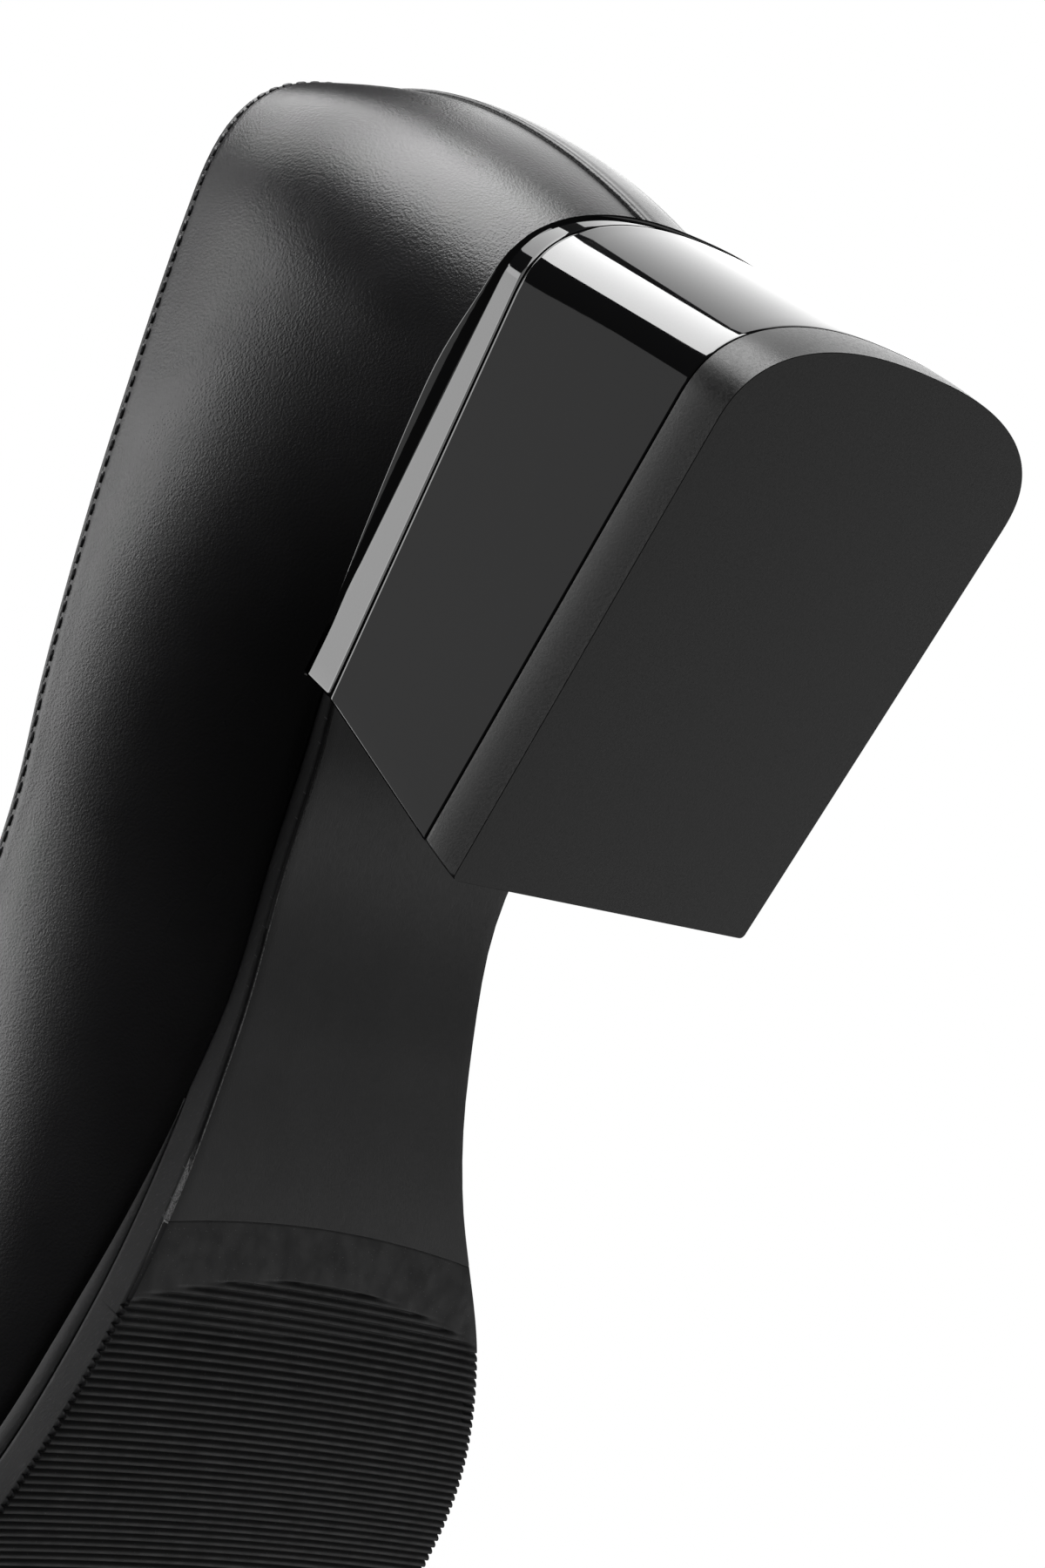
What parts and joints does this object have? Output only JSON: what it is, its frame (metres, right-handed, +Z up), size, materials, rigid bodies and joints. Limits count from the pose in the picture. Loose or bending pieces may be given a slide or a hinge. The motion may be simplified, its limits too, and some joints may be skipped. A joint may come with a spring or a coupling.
{
  "type": "block heel pump",
  "caption": "Left-foot court shoe with a low block heel, a lacquered heel and seat band, a rubber top lift and a finely ribbed sole; worn on the foot for dress.",
  "frame": {"origin": "on the ground, under the middle of the shoe's outline box, with the shoe standing on its heel and tread", "axes": "+X from heel to toe, +Y to the outer side of the left foot, +Z up"},
  "size_m": [0.2462, 0.077, 0.0829],
  "materials": {
    "upper_leather": "smooth, semi-gloss black with a fine grain",
    "thread": "waxed black thread",
    "tape": "woven reinforcing tape",
    "stiffener": "impregnated stiffener sheet",
    "lining_leather": "matte, undyed",
    "foam": "soft latex foam",
    "board": "hard fibre board",
    "shank_steel": "blued spring steel",
    "brass": "plain",
    "filler": "cork filler",
    "sole_rubber": "matte black",
    "waist": "satin dark grey skin",
    "welt": "ground and inked edge",
    "lacquer": "high gloss black lacquer",
    "lift_rubber": "matte black",
    "steel": "bright"
  },
  "bodies": {
    "root": {"vamp": "upper_leather", "medial_quarter": "upper_leather", "back_stay": "upper_leather", "topline_thread": "thread", "seam_thread": "thread", "topline_tape": "tape", "toe_puff": "stiffener", "heel_counter": "stiffener", "vamp_lining": "lining_leather", "quarter_lining": "lining_leather", "sock_lining": "lining_leather", "heel_cushion": "foam", "insole_board": "board", "shank": "shank_steel", "shank_rivets": "brass", "bottom_filler": "filler", "welt": "welt", "outsole": "sole_rubber", "waist_cover": "waist", "heel_seat_band": "lacquer", "heel_block": "lacquer", "top_lift": "lift_rubber", "top_lift_pins": "steel", "heel_screw": "steel", "heel_nails": "steel"}
  },
  "joints": []
}
